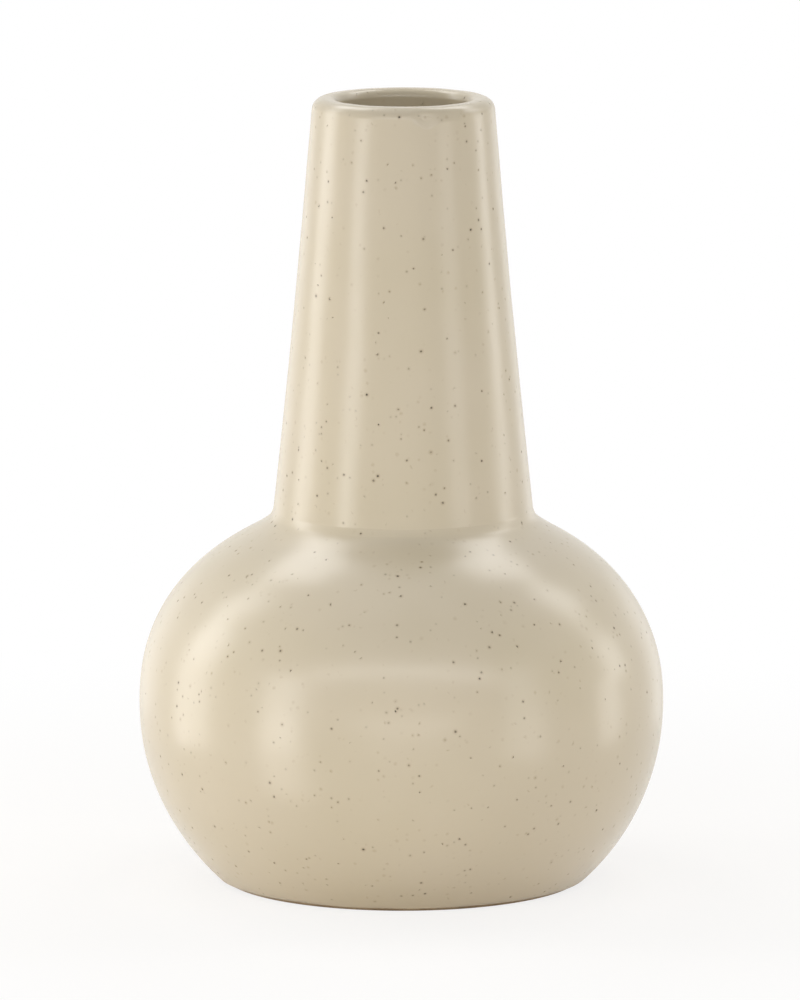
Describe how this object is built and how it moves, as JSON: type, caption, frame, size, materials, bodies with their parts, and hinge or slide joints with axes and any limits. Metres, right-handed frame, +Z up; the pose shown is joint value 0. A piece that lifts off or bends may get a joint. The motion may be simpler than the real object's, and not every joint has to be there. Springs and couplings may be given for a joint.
{
  "type": "vase",
  "caption": "Hollow stoneware vase: a slender cone neck on a squashed-ball belly, glazed in speckled beige inside and out, standing on a bare clay foot ring.",
  "frame": {"origin": "centre of the foot ring, on the surface that the vase stands on", "axes": "+Z up along the axis of the vase, towards the mouth. The vase is round, so +X and +Y are alike"},
  "size_m": [0.12, 0.12, 0.18],
  "materials": {
    "bare_clay": "matt, fine grained buff stoneware with dark iron specks",
    "speckled_glaze": "satin gloss warm beige glaze with fine dark brown iron specks"
  },
  "bodies": {
    "root": {"stoneware_body": "bare_clay", "outer_glaze": "speckled_glaze", "inner_glaze": "speckled_glaze", "foot_glaze": "speckled_glaze"}
  },
  "joints": []
}
